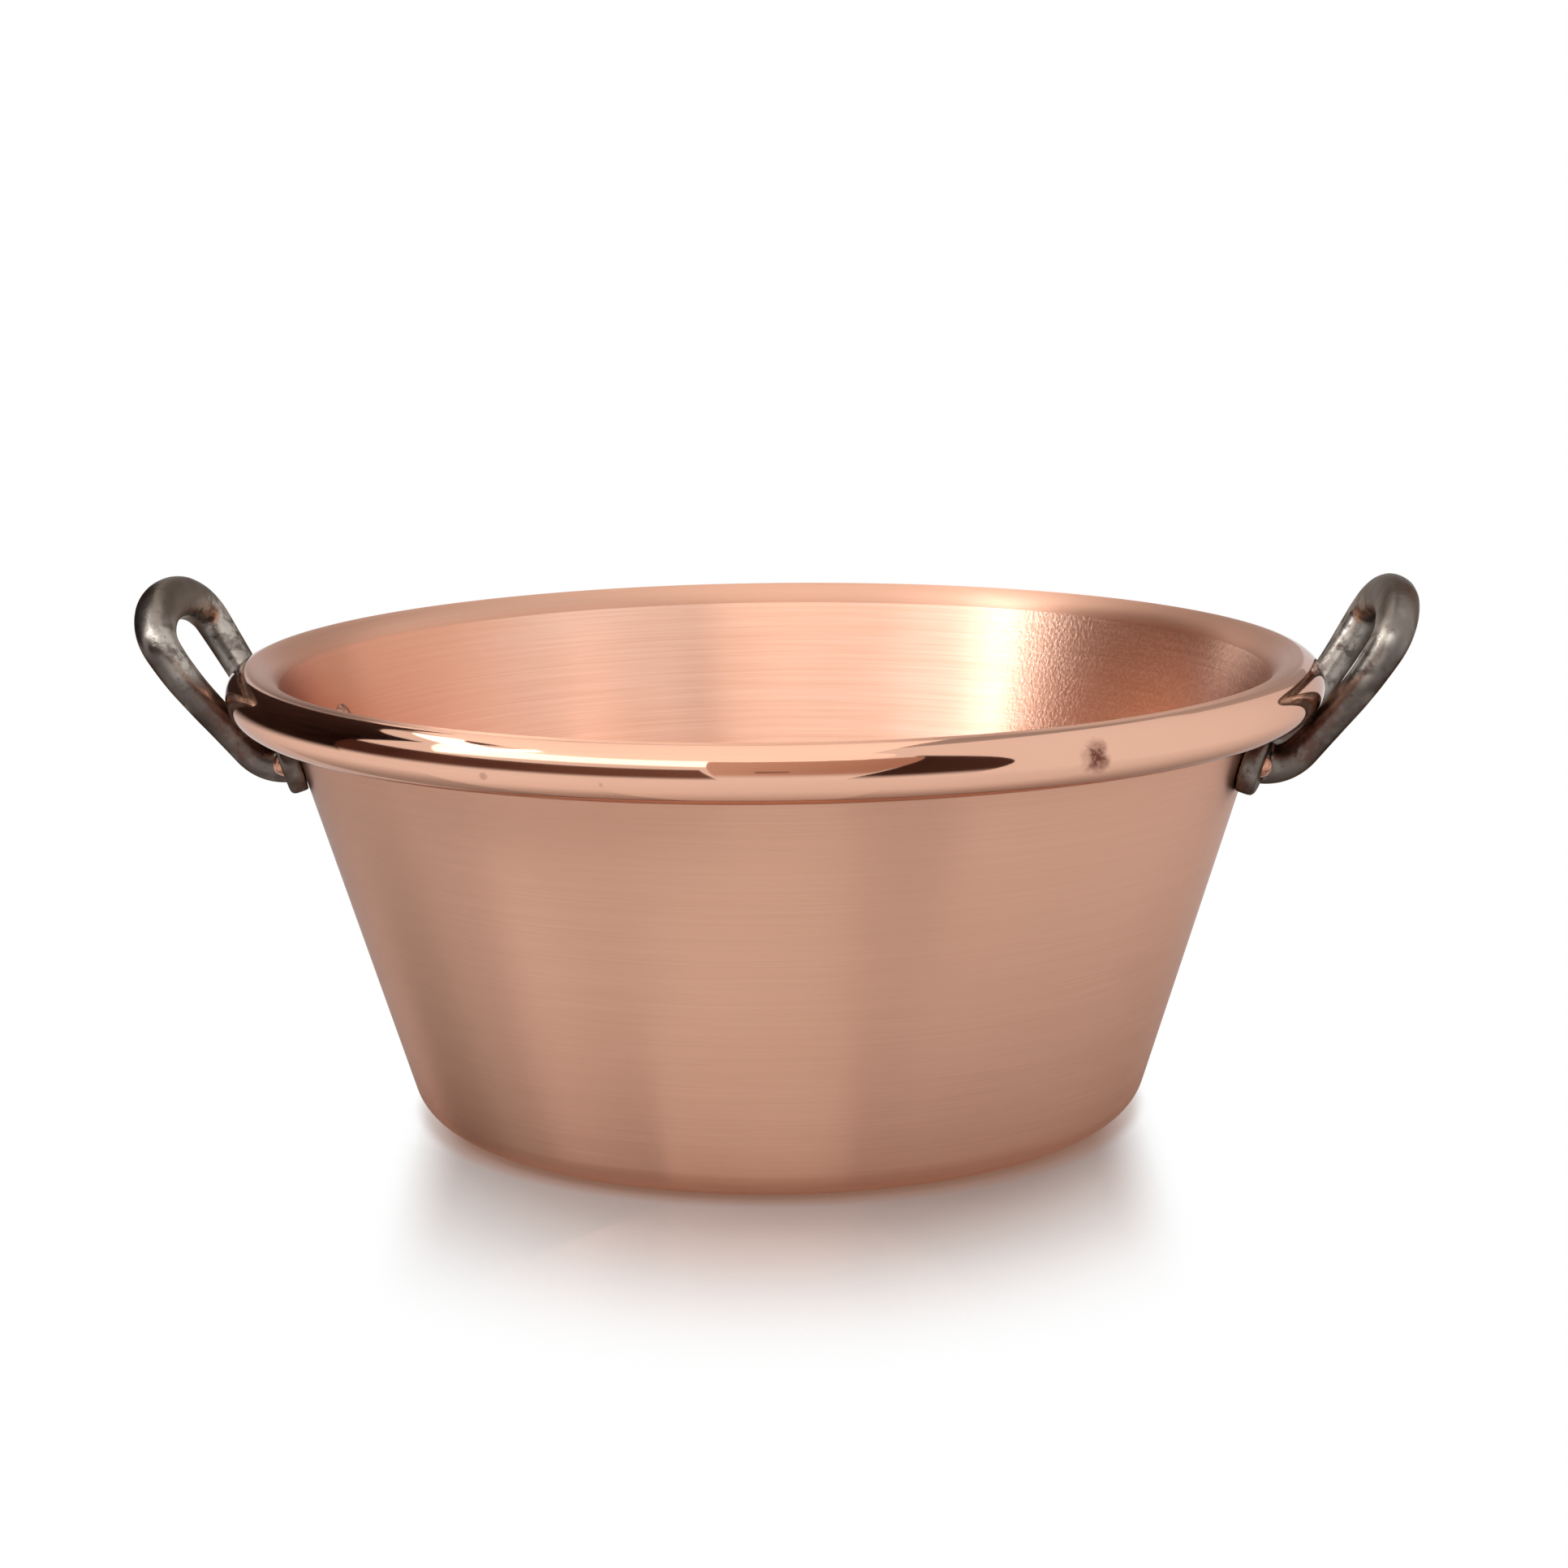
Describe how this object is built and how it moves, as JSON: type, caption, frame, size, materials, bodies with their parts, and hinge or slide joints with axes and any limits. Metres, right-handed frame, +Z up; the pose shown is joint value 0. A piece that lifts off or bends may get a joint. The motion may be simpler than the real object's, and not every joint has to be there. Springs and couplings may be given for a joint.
{
  "type": "jam pan",
  "caption": "Wide open preserving pan of spun copper with a flaring wall, a rolled rim and cast iron loop handles riveted on.",
  "frame": {"origin": "middle of the pan's base, on the surface that it stands on", "axes": "+Z up out of the pan's mouth, +X towards the right handle, +Y away from the cook"},
  "size_m": [0.4658, 0.3998, 0.1964],
  "materials": {
    "copper_sheet": "satin brushed copper, with a polished rolled rim",
    "cast_iron": "dark bronzed cast iron, semi-gloss",
    "copper_rivet": "dull hammered copper"
  },
  "bodies": {
    "root": {"pan_body": "copper_sheet", "left_handle": "cast_iron", "right_handle": "cast_iron", "left_front_rivet": "copper_rivet", "left_rear_rivet": "copper_rivet", "right_front_rivet": "copper_rivet", "right_rear_rivet": "copper_rivet"}
  },
  "joints": []
}
